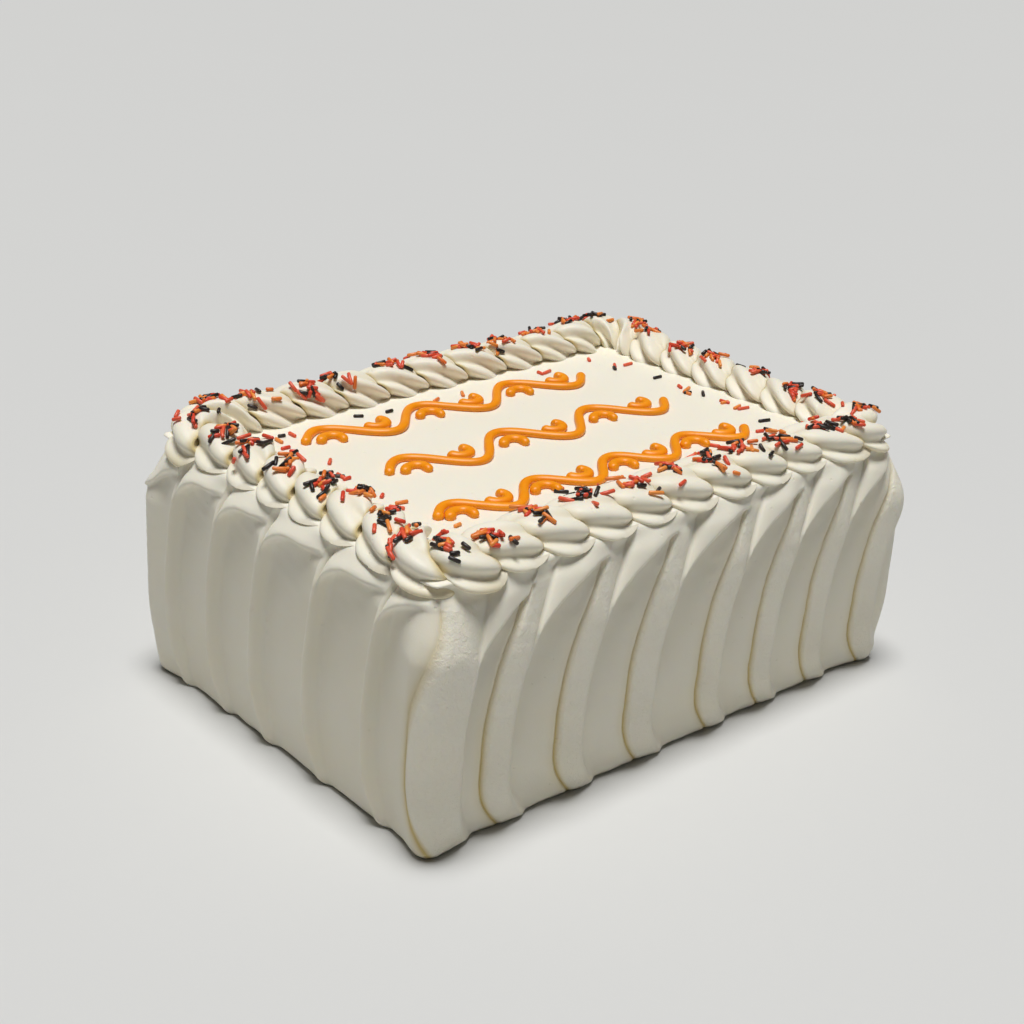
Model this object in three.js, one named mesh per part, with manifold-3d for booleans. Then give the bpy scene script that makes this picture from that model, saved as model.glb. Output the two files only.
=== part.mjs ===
// Birthday cake: a quarter-sheet layer cake in ivory buttercream, with sides drawn up in spatula
// strokes, a piped shell border on all four top edges, orange piped scrollwork and long sprinkles.
// Millimetres, +Z up. X runs along the long side, the nearest long side is at -Y, z = 0 is the base.

import * as THREE from 'three';
import { mergeVertices } from 'three/addons/utils/BufferGeometryUtils.js';
import Module from 'manifold-3d';

const wasm = await Module();
wasm.setup();

// Cake block
const cakeLength = 334;
const cakeWidth = 233;
const panelHeight = 138;
const cornerRadius = 6;
const wallFlare = 6;
const flareHeight = 48;
const cornerSwell = 2.6;
const swellReach = 15;
const shoulderDrop = 14;
const shoulderInset = 12;
const baseTuck = 2.5;
const baseTuckHeight = 5;

// Spatula strokes: each crease opens a quick convex ridge, then a long shallow trough.
// Creases of the front, by x, and of the left side, by y; those of the far sides are evenly spaced.
// On the left side the ridges are narrow rims and no crease is cut beside them.
const frontCreases = [-137, -90, -43, 10, 52, 94, 137];
const leftCreases = [112, 74, 37, -9, -57, -95];
const farStrokes = 13;
const ridgeHeight = 2;
const troughDepth = 2.6;
const archHeight = 124;
const archRadius = 16;
const hookHeight = 38;
const sweepStart = 45;
const footHeight = 25;
const bandStroke = { ridgePart: 0.27, foot: -2.6, hook: 18, sweep: 25 };
const rimStroke = { ridgePart: 0.09, foot: -0.8, hook: 6, sweep: 13 };

// Piped shells, head at the left and tail at the right as seen from outside the cake. Two short ones
// share each corner: cornerCuts are where they start and end, from the corner's middle.
const longSideShells = 9;
const shortSideShells = 6;
const cornerCuts = [-20, -4, 12];
const cutDrift = 1.2;
const shellHalfWidth = 17.5;
const frontShellHeight = 10.8;
const backShellHeight = 13.6;
const shellDroop = 4;
const shellAxisHeight = 2;
const shellAxisInset = 17;
const shellPathRadius = 24;
const shellReach = 0.61;
const shellBluntness = 2.6;
const shellShear = 0.08;
const cornerShellScale = 1.06;
const cornerPush = 7.5;
const cornerBlend = 18;
const shellScaleSpread = 0.05;
const shellGap = 2.6;
const ribCount = 6;
const ribTurn = -4;
const outerTwist = 0.55;
const innerTwist = 1.3;
const ribValley = 0.74;
const ribRise = 0.3;

// Piped scrollwork: three rows of a wavy stem with a curl in every bay
const strandWidth = 5.2;
const strandHeight = 3.6;
const strandSunk = 0.8;
const scrollRows = [
  { from: -112, to: 84, y: 55, waves: 3, rise: 12 },
  { from: -102, to: 94, y: -2, waves: 3, rise: 13 },
  { from: -117, to: 99, y: -58, waves: 4, rise: 10 },
];
const curlRadius = 8;
const curlEndRadius = 3;
const curlTurn = 1.35 * Math.PI;

// Sprinkles
const sprinkleRadius = 1;
const sprinkleLength = 7;
const sprinklesPerShell = [2, 1, 2];
const panelSprinkles = 18;
const seed = 20;

const shortestEdge = 0.05;
const degrees = Math.PI / 180;

function randomSource(start) {
  let state = start;
  return () => {
    state = (state * 1664525 + 1013904223) % 4294967296;
    return state / 4294967296;
  };
}

function smoothStep(value) {
  const t = Math.min(Math.max(value, 0), 1);
  return t * t * (3 - 2 * t);
}

// Solids

function solidFromFaces(points, faces) {
  return new wasm.Manifold(new wasm.Mesh({
    numProp: 3,
    vertProperties: new Float32Array(points.flat()),
    triVerts: new Uint32Array(faces.flat()),
  }));
}

function distance(a, b) {
  return Math.hypot(a[0] - b[0], a[1] - b[1], a[2] - b[2]);
}

// A closed skin over rings of equal size, with a pole at each end
function skin(rings, startPole, endPole) {
  const count = rings[0].length;
  const points = [startPole, ...rings.flat(), endPole];
  const last = points.length - 1;
  const faces = [];
  for (let i = 0; i < count; i += 1) {
    const next = (i + 1) % count;
    faces.push([0, 1 + next, 1 + i]);
    for (let ring = 0; ring < rings.length - 1; ring += 1) {
      const a = 1 + ring * count + i;
      const b = 1 + ring * count + next;
      const c = b + count;
      const d = a + count;
      if (distance(points[a], points[c]) <= distance(points[b], points[d])) {
        faces.push([a, b, c], [a, c, d]);
      } else {
        faces.push([a, b, d], [b, c, d]);
      }
    }
    const top = 1 + (rings.length - 1) * count;
    faces.push([last, top + i, top + next]);
  }
  return solidFromFaces(points, faces);
}

function largestPiece(solid) {
  return solid.decompose().reduce((best, piece) => (piece.volume() > best.volume() ? piece : best));
}

function meshFrom(solid, name, material) {
  const data = solid.asOriginal().simplify(shortestEdge).getMesh();
  const geometry = new THREE.BufferGeometry();
  geometry.setAttribute('position', new THREE.Float32BufferAttribute(data.vertProperties, 3));
  geometry.setIndex(new THREE.Uint32BufferAttribute(data.triVerts, 1));
  const mesh = new THREE.Mesh(mergeVertices(geometry), material);
  mesh.name = name;
  return mesh;
}

// A rounded rectangle walked counterclockwise, from the middle of its front left corner

function roundedPath(halfLength, halfWidth, radius) {
  const arc = radius * Math.PI / 2;
  const length = 4 * (halfLength + halfWidth - 2 * radius + arc);
  return { halfLength, halfWidth, radius, arc, length };
}

function pathPoint(path, along) {
  let rest = (((along + path.arc / 2) % path.length) + path.length) % path.length;
  let side = 0;
  const run = (index) => 2 * ((index % 2 ? path.halfWidth : path.halfLength) - path.radius);
  while (rest > path.arc + run(side) && side < 3) {
    rest -= path.arc + run(side);
    side += 1;
  }
  const turned = Math.min(rest, path.arc) / path.radius;
  const heading = (side - 1) * Math.PI / 2 + turned;
  const onward = Math.max(rest - path.arc, 0);
  const signX = side === 1 || side === 2 ? 1 : -1;
  const signY = side > 1 ? 1 : -1;
  const out = [Math.sin(heading), -Math.cos(heading)];
  return {
    x: signX * (path.halfLength - path.radius) + path.radius * out[0] + onward * Math.cos(heading),
    y: signY * (path.halfWidth - path.radius) + path.radius * out[1] + onward * Math.sin(heading),
    out,
    heading,
  };
}

// Cake body

const shoulderLevels = [114, archHeight, 132, panelHeight];
const rim = roundedPath(cakeLength / 2 - ridgeHeight, cakeWidth / 2 - ridgeHeight, cornerRadius);

function strokes() {
  const front = frontCreases.map((x) => x + rim.halfLength - rim.radius + rim.arc / 2);
  const left = leftCreases.map((y) => rim.length - (y + rim.halfWidth - rim.radius + rim.arc / 2));
  const start = front[front.length - 1];
  const step = (left[0] - start) / farStrokes;
  const far = Array.from({ length: farStrokes - 1 }, (_, i) => start + (i + 1) * step);
  const banded = [...front, ...far].map((crease) => ({ ...bandStroke, crease }));
  const all = [...banded, ...left.map((crease) => ({ ...rimStroke, crease }))];
  return all.map((stroke, i) => {
    const next = all[(i + 1) % all.length];
    const pitch = (next.crease - stroke.crease + rim.length) % rim.length;
    return { ...stroke, pitch, next };
  });
}

function strokeLean(stroke, z) {
  const hook = stroke.hook * Math.max(0, 1 - z / hookHeight) ** 2;
  const sweep = stroke.sweep * (Math.max(0, z - sweepStart) / (archHeight - sweepStart)) ** 2;
  return hook + sweep;
}

function strokeRelief(stroke, part, z) {
  const { ridgePart, pitch } = stroke;
  const rise = Math.sin(Math.min(part / ridgePart, 1) * Math.PI / 2) ** 0.8;
  const fall = smoothStep((part - ridgePart) / 0.3);
  const level = part < ridgePart
    ? stroke.foot + (ridgeHeight - stroke.foot) * rise
    : ridgeHeight - (ridgeHeight + troughDepth) * fall;
  const reach = Math.min(Math.max(part - ridgePart, 0) * pitch / archRadius, 1);
  const arch = archHeight - archRadius * (1 - Math.sqrt(1 - (1 - reach) ** 2));
  const below = smoothStep((arch - z) / 8);
  const fade = 1 - smoothStep((z - archHeight) / shoulderDrop);
  const foot = 0.4 + 0.6 * smoothStep(z / footHeight);
  return fade * foot * (1 + (level - 1) * below);
}

// A bell along a path round the nearest corner's middle, 1 there
function cornerBell(path, along, reach) {
  const longRun = 2 * (path.halfLength - path.radius) + path.arc;
  const half = path.length / 2;
  const away = [0, longRun, half, half + longRun].map((corner) => {
    const offset = (((along - corner + half) % path.length) + path.length) % path.length;
    return Math.abs(offset - half);
  });
  return Math.exp(-((Math.min(...away) / reach) ** 2));
}

// The walls swell out a little towards the corners, below the shoulder
function wallSwell(along, z) {
  return cornerSwell * cornerBell(rim, along, swellReach) * (1 - smoothStep((z - 100) / 38));
}

function wallInset(z) {
  const base = baseTuck * Math.max(0, 1 - z / baseTuckHeight) ** 2;
  const up = Math.max(0, z - (panelHeight - shoulderDrop)) / shoulderDrop;
  const lean = wallFlare * (2 * smoothStep(0.5 + z / flareHeight / 2) - 1);
  return base + shoulderInset * (1 - Math.sqrt(1 - up * up)) - lean;
}

function cakeBlock() {
  const levels = [0, baseTuckHeight, 20, 44, 76, 100, ...shoulderLevels];
  const rings = levels.map((z) => strokes().flatMap((stroke) => {
    const lean = strokeLean(stroke, z);
    const run = stroke.pitch + strokeLean(stroke.next, z) - lean;
    const columns = [0, stroke.ridgePart / 2, stroke.ridgePart, stroke.ridgePart + 0.38];
    return columns.map((part) => {
      const along = stroke.crease + lean + part * run;
      const place = pathPoint(rim, along);
      const offset = strokeRelief(stroke, part, z) + wallSwell(along, z) - wallInset(z);
      return [place.x + offset * place.out[0], place.y + offset * place.out[1], z];
    });
  }));
  return skin(rings, [0, 0, 0], [0, 0, panelHeight]);
}

// What the shells rest on: the block without its strokes, a little proud of them at the shoulder
function cakeEnvelope() {
  const steps = 6;
  const longRun = 2 * (rim.halfLength - rim.radius) + rim.arc;
  const shortRun = 2 * (rim.halfWidth - rim.radius) + rim.arc;
  const outline = [0, longRun, longRun + shortRun, 2 * longRun + shortRun].flatMap((middle) => (
    Array.from({ length: steps + 1 }, (_, i) => {
      const along = middle + (i / steps - 0.5) * rim.arc;
      return { along, ...pathPoint(rim, along) };
    })
  ));
  const rings = shoulderLevels.map((z, i) => {
    const proud = 0.6 + [ridgeHeight, ridgeHeight, 1, 0][i];
    return outline.map(({ along, x, y, out }) => {
      const offset = proud + wallSwell(along, z) - wallInset(z);
      return [x + offset * out[0], y + offset * out[1], z];
    });
  });
  return skin(rings, [0, 0, shoulderLevels[0]], [0, 0, panelHeight]);
}

// Piped shells

const shellPath = roundedPath(cakeLength / 2 - shellAxisInset, cakeWidth / 2 - shellAxisInset,
  shellPathRadius);

function shellUnits() {
  const random = randomSource(seed);
  const longRun = 2 * (shellPath.halfLength - shellPath.radius) + shellPath.arc;
  const shortRun = 2 * (shellPath.halfWidth - shellPath.radius) + shellPath.arc;
  const [firstCut, middleCut, lastCut] = cornerCuts;
  const cuts = [];
  let start = 0;
  for (let side = 0; side < 4; side += 1) {
    const count = side % 2 ? shortSideShells : longSideShells;
    const run = side % 2 ? shortRun : longRun;
    const step = (run + firstCut - lastCut) / count;
    const even = Array.from({ length: count }, (_, i) => lastCut + i * step);
    [firstCut, middleCut, ...even].forEach((place, i) => {
      const drift = cutDrift * (random() - 0.5);
      const spread = 1 + shellScaleSpread * (2 * random() - 1);
      const corner = i < 2;
      cuts.push({
        place: start + place + (corner ? 0 : drift),
        scale: corner ? cornerShellScale : spread,
      });
    });
    start += run;
  }
  return cuts.map(({ place, scale }, i) => {
    const end = i + 1 < cuts.length ? cuts[i + 1].place : cuts[0].place + shellPath.length;
    return { at: (place + end) / 2, span: end - place, scale };
  });
}

// Share of full size along a shell, by a superellipse, and the place on its head with a given share
function moundShare(unit, along) {
  const part = Math.abs(along / (shellReach * unit.span));
  return Math.max(0, 1 - part ** shellBluntness) ** (1 / shellBluntness);
}

function headPlace(unit, share) {
  return -shellReach * unit.span * (1 - share ** shellBluntness) ** (1 / shellBluntness);
}

function twist(angle) {
  return outerTwist + (innerTwist - outerTwist) * smoothStep((angle - 60) / 70);
}

function ribShare(unit, along, angle) {
  const phase = ribCount * (angle - ribTurn) * degrees + (2 * Math.PI * twist(angle) * along) / unit.span;
  const wave = (0.5 + 0.5 * Math.cos(phase - 0.3 * Math.sin(phase))) ** 1.3;
  const upper = 1 - 0.55 * Math.exp(-(((angle - 90) / 30) ** 2));
  return ribValley + ribRise * (1 - (1 - wave) * upper);
}

// How far the border swings out near a corner
function cornerShift(along) {
  return cornerPush * cornerBell(shellPath, along, cornerBlend);
}

// A point of a shell: it leans along the path as it comes down the outside, like the strands of a rope
function shellPoint(unit, along, share, angle) {
  const leant = along + shellShear * (90 - angle);
  const place = pathPoint(shellPath, unit.at + leant);
  const reach = share * ribShare(unit, leant, angle);
  const across = Math.cos(angle * degrees);
  const back = smoothStep(0.5 + place.y / cakeWidth);
  const tall = frontShellHeight + (backShellHeight - frontShellHeight) * back;
  const outward = shellHalfWidth * reach * across + cornerShift(unit.at + leant);
  const droop = shellDroop * share * Math.max(0, across) ** 1.5;
  const z = panelHeight + shellAxisHeight + tall * reach * Math.sin(angle * degrees) - droop;
  return [place.x + outward * place.out[0], place.y + outward * place.out[1], z];
}

// Where the tail of a shell meets the head of the next one
function tailPlace(unit, next, reach) {
  let low = 0;
  let high = shellReach * unit.span;
  for (let i = 0; i < 40; i += 1) {
    const middle = (low + high) / 2;
    const own = unit.scale * moundShare(unit, middle);
    const other = next.scale * moundShare(next, middle - reach);
    if (other < own) {
      low = middle;
    } else {
      high = middle;
    }
  }
  return low;
}

// Inner angles of a ring stay put; the outer ones follow the ribs as they turn
const innerAngles = [212, 181, 160, 140, 118, 95];
const outerAngles = [72, 56, 40, 26, 12, -4, -20];
const lastAngle = -50;

function ringAngles(unit, along) {
  const outer = outerAngles.map((angle) => {
    const leant = along + shellShear * (90 - angle);
    const follow = smoothStep((95 - angle) / 40);
    return angle - (follow * 360 * twist(angle) * leant) / (ribCount * unit.span);
  });
  return [...innerAngles, ...outer, lastAngle];
}

function shellSolid(unit, next, envelope) {
  const reach = ((next.at - unit.at + shellPath.length) % shellPath.length) - shellGap;
  const tail = tailPlace(unit, next, reach);
  const headShares = [0.6, 0.9];
  const own = (along) => ringAngles(unit, along)
    .map((angle) => shellPoint(unit, along, unit.scale * moundShare(unit, along), angle));
  const cup = ringAngles(unit, tail).map((angle) => shellPoint(
    { ...next, at: unit.at + reach }, headPlace(next, 0.6), next.scale * 0.6, angle));
  const rings = [
    ...headShares.map((share) => own(headPlace(unit, share))),
    own(0),
    own(0.7 * tail),
    own(tail),
    cup,
  ];
  const nose = shellPoint(unit, headPlace(unit, 0), 0, 90);
  const cupMiddle = shellPoint({ ...next, at: unit.at + reach }, headPlace(next, 0), 0, 90);
  return largestPiece(skin(rings, nose, cupMiddle).subtract(envelope));
}

// Scrollwork

function strand(path) {
  const half = strandWidth / 2;
  const top = panelHeight + strandHeight;
  const foot = panelHeight - strandSunk;
  const rings = path.map((point, i) => {
    const before = path[Math.max(i - 1, 0)];
    const after = path[Math.min(i + 1, path.length - 1)];
    const size = Math.hypot(after[0] - before[0], after[1] - before[1]);
    const side = [(after[1] - before[1]) / size, -(after[0] - before[0]) / size];
    const at = (offset, z) => [point[0] + offset * side[0], point[1] + offset * side[1], z];
    return [at(-half, foot), at(-0.55 * half, top), at(0.55 * half, top), at(half, foot)];
  });
  const pole = (point) => [point[0], point[1], (top + foot) / 2];
  return skin(rings, pole(path[0]), pole(path[path.length - 1]));
}

function curlPath(centreX, centreY, side) {
  const steps = 5;
  return Array.from({ length: steps + 1 }, (_, i) => {
    const part = i / steps;
    const radius = curlRadius + (curlEndRadius - curlRadius) * part;
    const angle = Math.PI - curlTurn * part;
    return [centreX + radius * Math.cos(angle), centreY + side * radius * Math.sin(angle)];
  });
}

function scrollPaths() {
  return scrollRows.flatMap((row) => {
    const wave = (row.to - row.from) / row.waves;
    const steps = row.waves * 8;
    const stem = Array.from({ length: steps + 1 }, (_, i) => {
      const x = row.from + ((row.to - row.from) * i) / steps;
      return [x, row.y + row.rise * Math.sin((2 * Math.PI * (x - row.from)) / wave)];
    });
    const curls = Array.from({ length: 2 * row.waves }, (_, i) => {
      const side = i % 2 ? -1 : 1;
      return curlPath(row.from + (i + 0.5) * wave / 2, row.y - side * 4, side);
    });
    return [stem, ...curls];
  });
}

// Sprinkles: short six-sided rods that lie on the icing

function sprinkle(centre, direction, up) {
  const axis = new THREE.Vector3(...direction).normalize();
  const lift = new THREE.Vector3(...up).normalize();
  const side = new THREE.Vector3().crossVectors(axis, lift).normalize();
  const rise = new THREE.Vector3().crossVectors(side, axis);
  const at = (along, radius) => Array.from({ length: 5 }, (_, i) => {
    const angle = (i / 5) * 2 * Math.PI;
    return new THREE.Vector3(...centre)
      .addScaledVector(axis, along)
      .addScaledVector(rise, radius * Math.cos(angle))
      .addScaledVector(side, radius * Math.sin(angle))
      .toArray();
  });
  const half = sprinkleLength / 2;
  const pole = (along) => new THREE.Vector3(...centre).addScaledVector(axis, along).toArray();
  return skin([at(-half, sprinkleRadius), at(half, sprinkleRadius)], pole(-half - 0.3), pole(half + 0.3));
}

function shellSprinkles(unit, count, random) {
  return Array.from({ length: count }, (_, i) => {
    const along = unit.span * (-0.25 + (0.4 * (i + random())) / count);
    const angle = 66 + 48 * random();
    const share = unit.scale * moundShare(unit, along);
    const point = shellPoint(unit, along, share, angle);
    const ahead = shellPoint(unit, along + 1, share, angle);
    const across = shellPoint(unit, along, share, angle + 4);
    const first = new THREE.Vector3(...ahead).sub(new THREE.Vector3(...point)).normalize();
    const second = new THREE.Vector3(...across).sub(new THREE.Vector3(...point)).normalize();
    const up = new THREE.Vector3().crossVectors(first, second).normalize();
    const turn = Math.PI * random();
    const direction = first.multiplyScalar(Math.cos(turn)).addScaledVector(second, Math.sin(turn));
    const centre = new THREE.Vector3(...point).addScaledVector(up, -0.1 * sprinkleRadius);
    return sprinkle(centre.toArray(), direction.toArray(), up.toArray());
  });
}

function panelSprinkleSolids(paths, random) {
  const line = roundedPath(cakeLength / 2 - 46, cakeWidth / 2 - 46, 8);
  const places = Array.from({ length: panelSprinkles }, (_, i) => {
    const place = pathPoint(line, (line.length * (i + 0.8 * random())) / panelSprinkles);
    const inward = 4 * random();
    return [place.x - inward * place.out[0], place.y - inward * place.out[1], 0];
  });
  const clear = (place) => paths.flat().every(([x, y]) => distance([x, y, 0], place) > 9);
  return places.filter(clear).map(([x, y]) => {
    const turn = Math.PI * random();
    const centre = [x, y, panelHeight + 0.6 * sprinkleRadius];
    return sprinkle(centre, [Math.cos(turn), Math.sin(turn), 0], [0, 0, 1]);
  });
}

// Materials

const buttercream = new THREE.MeshStandardMaterial({ color: 0xf3ead0, roughness: 0.5, metalness: 0 });
const pipedButtercream = new THREE.MeshStandardMaterial({ color: 0xf5edd2, roughness: 0.45, metalness: 0 });

// The cake

const random = randomSource(seed + 1);
const group = new THREE.Group();
group.name = 'birthday_cake';

const scrolls = scrollPaths();
const body = [...scrolls.map(strand), ...panelSprinkleSolids(scrolls, random)]
  .reduce((whole, piece) => whole.add(piece), cakeBlock());
group.add(meshFrom(body, 'cake_body', buttercream));

const envelope = cakeEnvelope();
const units = shellUnits();
const shells = units.map((unit, i) => shellSolid(unit, units[(i + 1) % units.length], envelope));
units.forEach((unit, i) => {
  const neighbours = [shells[(i + 1) % units.length], shells[(i + units.length - 1) % units.length]];
  const clear = (piece) => neighbours.every((shell) => piece.intersect(shell).isEmpty());
  const settled = (piece) => clear(piece) && !piece.intersect(shells[i]).isEmpty();
  shells[i] = shellSprinkles(unit, sprinklesPerShell[i % 3], random)
    .filter(settled)
    .reduce((whole, piece) => whole.add(piece), shells[i]);
  group.add(meshFrom(shells[i], `shell_${String(i + 1).padStart(2, '0')}`, pipedButtercream));
});

export default group;
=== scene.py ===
# A quarter-sheet birthday cake in ivory buttercream: spatula-stroked sides, a piped shell border,
# orange piped scrollwork on the top panel and long sprinkles. Sizes are in millimetres until a
# mesh is written; the frame's own sizes set the block, and everything else follows from it.

import math

import bpy
import numpy as np
from mathutils import Matrix, Vector


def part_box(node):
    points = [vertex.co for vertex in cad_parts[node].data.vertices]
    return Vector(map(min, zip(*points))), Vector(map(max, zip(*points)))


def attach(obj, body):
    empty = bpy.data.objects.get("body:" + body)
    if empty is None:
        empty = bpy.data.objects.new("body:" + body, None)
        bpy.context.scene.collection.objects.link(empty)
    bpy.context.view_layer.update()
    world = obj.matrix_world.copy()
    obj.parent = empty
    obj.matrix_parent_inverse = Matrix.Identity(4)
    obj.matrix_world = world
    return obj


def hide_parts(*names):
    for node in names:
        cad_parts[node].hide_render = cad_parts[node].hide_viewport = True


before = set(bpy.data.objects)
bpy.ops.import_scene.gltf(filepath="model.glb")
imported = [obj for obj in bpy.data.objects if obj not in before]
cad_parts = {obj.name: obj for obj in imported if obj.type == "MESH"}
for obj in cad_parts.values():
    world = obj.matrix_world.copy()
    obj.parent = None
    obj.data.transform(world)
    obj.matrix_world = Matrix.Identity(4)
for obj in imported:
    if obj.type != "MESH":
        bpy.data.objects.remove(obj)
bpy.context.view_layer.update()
mm = 0.001
print("frame loaded")

bodyLow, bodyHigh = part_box("cake_body")
shellNodes = sorted(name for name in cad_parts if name.startswith("shell_"))

block = {
    "length": 334,
    "width": 233,
    "flare": 6,  # the walls lean out by this much between the base and flareHeight
    "flareHeight": 48,
    "cornerSwell": 2.6,
    "swellReach": 15,
    "strandHeight": 3.6,  # the scrollwork is the top of the body's box
    "cornerRadius": 6,
    "shoulderDrop": 14,
    "shoulderInset": 12,
    "ridgeHeight": 2,
}
block["panelHeight"] = round(bodyHigh[2] / mm, 1) - block["strandHeight"]


# Small tools: curves, noise and meshes

def smoothStep(value):
    # 0 below 0, 1 above 1, and 3t^2 - 2t^3 between
    t = np.clip(value, 0, 1)
    return t * t * (3 - 2 * t)


def roundedPath(halfLength, halfWidth, radius):
    # a rectangle with round corners, walked counterclockwise from the middle of its front left corner
    arc = radius * math.pi / 2
    runs = [2 * (halfLength - radius), 2 * (halfWidth - radius)] * 2
    starts = np.cumsum([0] + [arc + run for run in runs])
    return {"halfLength": halfLength, "halfWidth": halfWidth, "radius": radius, "arc": arc,
            "starts": starts[:4], "length": starts[4]}


def walkPath(path, along):
    # a side is a quarter circle and then a straight run; gives the point and the outward normal
    rest = np.mod(along + path["arc"] / 2, path["length"])
    side = np.searchsorted(path["starts"], rest, side="right") - 1
    rest = rest - path["starts"][side]
    heading = (side - 1) * math.pi / 2 + np.minimum(rest, path["arc"]) / path["radius"]
    onward = np.maximum(rest - path["arc"], 0)
    signX = np.where((side == 1) | (side == 2), 1, -1)
    signY = np.where(side > 1, 1, -1)
    outX, outY = np.sin(heading), -np.cos(heading)
    x = signX * (path["halfLength"] - path["radius"]) + path["radius"] * outX + onward * np.cos(heading)
    y = signY * (path["halfWidth"] - path["radius"]) + path["radius"] * outY + onward * np.sin(heading)
    return x, y, outX, outY


def cornerBell(path, along, reach):
    # exp(-(gap / reach)^2), where gap is the way along the path to the nearest corner's middle
    half = path["length"] / 2
    away = np.mod(np.asarray(along)[..., None] - path["starts"] + half, 2 * half) - half
    return np.exp(-(np.abs(away).min(axis=-1) / reach) ** 2)


def wobble(points, size, seed, waves=10):
    # a sum of sine waves in random directions, each about size long: runs from about -1 to 1
    chance = np.random.default_rng(seed)
    directions = chance.normal(size=(waves, 3))
    directions /= np.linalg.norm(directions, axis=1, keepdims=True)
    lengths = size * chance.uniform(0.7, 1.5, waves)
    phases = chance.uniform(0, 2 * math.pi, waves)
    turns = points @ (directions * (2 * math.pi / lengths)[:, None]).T + phases
    return 1.6 * np.sin(turns).mean(axis=-1)


def skinFaces(rows, columns):
    # quads over a grid of rings that close on themselves, and a fan from a pole at each end
    ring = np.arange(columns)
    after = (ring + 1) % columns
    base = 1 + np.arange(rows - 1)[:, None] * columns
    quads = np.stack([base + ring, base + after, base + after + columns, base + ring + columns], -1)
    last = 1 + (rows - 1) * columns
    start = np.stack([np.zeros_like(ring), 1 + after, 1 + ring], -1)
    end = np.stack([np.full_like(ring, 1 + rows * columns), last + ring, last + after], -1)
    return quads.reshape(-1, 4), np.concatenate([start, end])


def skin(rings, startPole, endPole):
    # points and faces of one closed surface over rings of shape (rows, columns, 3)
    rows, columns = rings.shape[:2]
    points = np.concatenate([[startPole], rings.reshape(-1, 3), [endPole]])
    quads, triangles = skinFaces(rows, columns)
    return {"points": points, "quads": quads, "triangles": triangles}


def joinSkins(skins):
    # several closed surfaces as one, each one's faces counted on from the last
    counts = np.cumsum([0] + [len(part["points"]) for part in skins])
    joined = {"points": np.concatenate([part["points"] for part in skins])}
    for key in ("quads", "triangles"):
        joined[key] = np.concatenate([part[key] + count for part, count in zip(skins, counts)])
    return joined


def makePiece(name, surface, material, attributes=None):
    # writes a surface, in millimetres, as a smooth mesh in metres at the origin
    mesh = bpy.data.meshes.new(name)
    faces = surface["quads"].tolist() + surface["triangles"].tolist()
    mesh.from_pydata((surface["points"] * mm).tolist(), [], faces)
    for key, values in (attributes or {}).items():
        layer = mesh.attributes.new(key, "FLOAT", "POINT")
        layer.data.foreach_set("value", np.ascontiguousarray(values, dtype=np.float32))
    mesh.shade_smooth()
    mesh.materials.append(material)
    piece = bpy.data.objects.new(name, mesh)
    bpy.context.scene.collection.objects.link(piece)
    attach(piece, "root")
    print("made", name, "with", len(surface["quads"]) * 2 + len(surface["triangles"]), "triangles")
    return piece


# Materials

def linearColour(hexValue):
    # sRGB hex to linear light
    channels = [int(hexValue[i:i + 2], 16) / 255 for i in (1, 3, 5)]
    return [c / 12.92 if c <= 0.04045 else ((c + 0.055) / 1.055) ** 2.4 for c in channels] + [1]


def addNode(material, kind, settings=None, inputs=None):
    # a node with its own settings, and its sockets set to a value or linked to another node's output
    node = material.node_tree.nodes.new(kind)
    for key, value in (settings or {}).items():
        setattr(node, key, value)
    for key, value in (inputs or {}).items():
        if isinstance(value, bpy.types.NodeSocket):
            material.node_tree.links.new(value, node.inputs[key])
        else:
            node.inputs[key].default_value = value
    return node


def newMaterial(name):
    material = bpy.data.materials.new(name)
    material.use_nodes = True
    return material, material.node_tree.nodes["Principled BSDF"]


def linkInput(material, output, socket):
    material.node_tree.links.new(output, socket)


def addNoise(material, size, inputs):
    # noise with patches about size millimetres across, fixed to the piece
    place = addNode(material, "ShaderNodeTexCoord")
    return addNode(material, "ShaderNodeTexNoise", inputs={
        "Vector": place.outputs["Object"], "Scale": 1 / (size * mm), **inputs})


def mixColours(material, factor, first, second):
    # the first colour where the factor is 0 and the second where it is 1
    mix = addNode(material, "ShaderNodeMix", {"data_type": "RGBA"}, {
        "Factor": factor, "A": first, "B": second})
    return mix.outputs["Result"]


def letLightIn(shader, weight, depth, radius):
    # a share of the light scatters under the surface, red farthest; the depth is in millimetres
    shader.inputs["Subsurface Weight"].default_value = weight
    shader.inputs["Subsurface Radius"].default_value = radius
    shader.inputs["Subsurface Scale"].default_value = depth * mm


buttercream = {
    "ivory": "#f2eee0",
    "warmIvory": "#f0e9d2",
    # painted highlight: the whiter ivory of lit ridges, ledges and tops
    "highlightIvory": "#fbf5e4",
    # painted shade: the yellow mixed into creases and crevices where shade falls
    "creaseShadeYellow": "#d2bb74",
    "cloudSize": 38,
    "bubbleSize": 1.3,
    "bubbleDepth": 0.25,
    "pitSpacing": 9,
    "pitDepth": 0.5,
    "dragSize": 2.4,
    "sideDragDepth": 0.9,
    "pipedDragDepth": 0.35,
    "roughness": 0.5,
    "glow": 0.25,
    "glowDepth": 2.5,
}


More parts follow.
